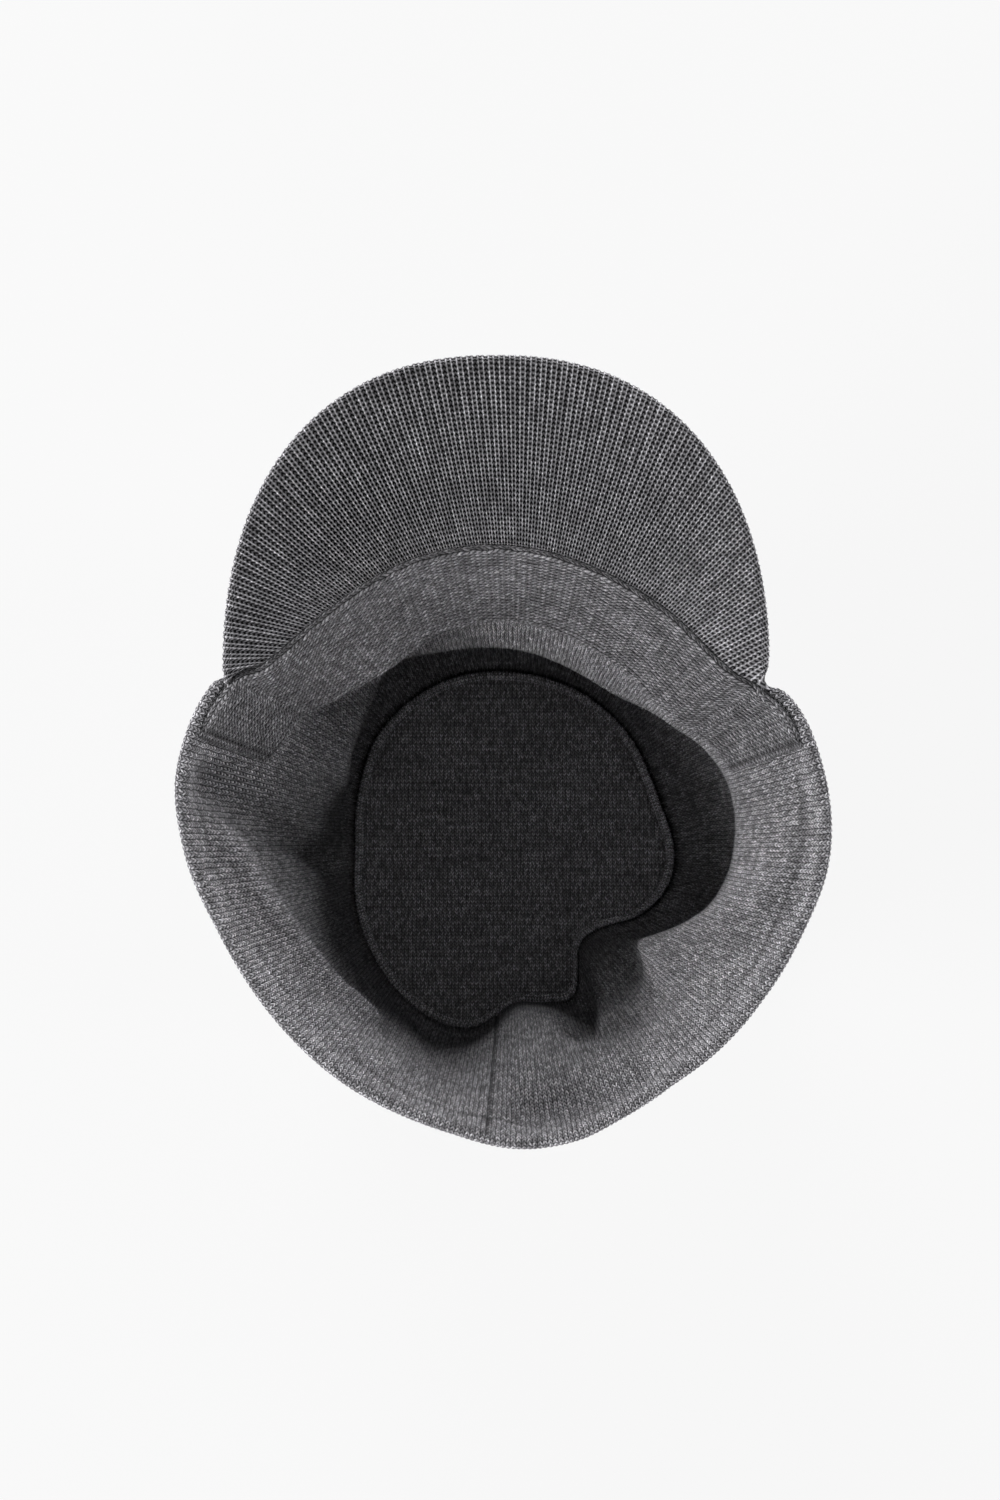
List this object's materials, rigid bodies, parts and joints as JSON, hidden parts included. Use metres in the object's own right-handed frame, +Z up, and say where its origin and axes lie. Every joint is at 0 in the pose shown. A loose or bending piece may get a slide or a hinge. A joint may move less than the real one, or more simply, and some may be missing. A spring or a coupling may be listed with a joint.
{
  "type": "knit cap",
  "caption": "Soft knitted cap with a rib-knit peak, lying upside down on its crown with its hollow open; worn on the head.",
  "frame": {"origin": "middle of the crown's outer face, on the surface that the upturned cap lies on", "axes": "+Z up out of the hollow, +Y from the middle of the crown towards the peak, +X to the right with the peak away from the viewer"},
  "size_m": [0.1997, 0.2391, 0.0988],
  "materials": {
    "wall_knit": "fine marled grey stockinette, matt wool",
    "crown_knit": "fine marled grey stockinette, matt wool",
    "seam_knit": "raised linked seam in the same yarn",
    "band_knit": "fine marled grey jersey, matt wool",
    "peak_rib": "marled grey one by one rib, matt wool"
  },
  "bodies": {
    "root": {"crown_wall": "wall_knit", "crown_top": "crown_knit", "crown_seam": "seam_knit", "front_band": "band_knit", "peak": "peak_rib"}
  },
  "joints": []
}
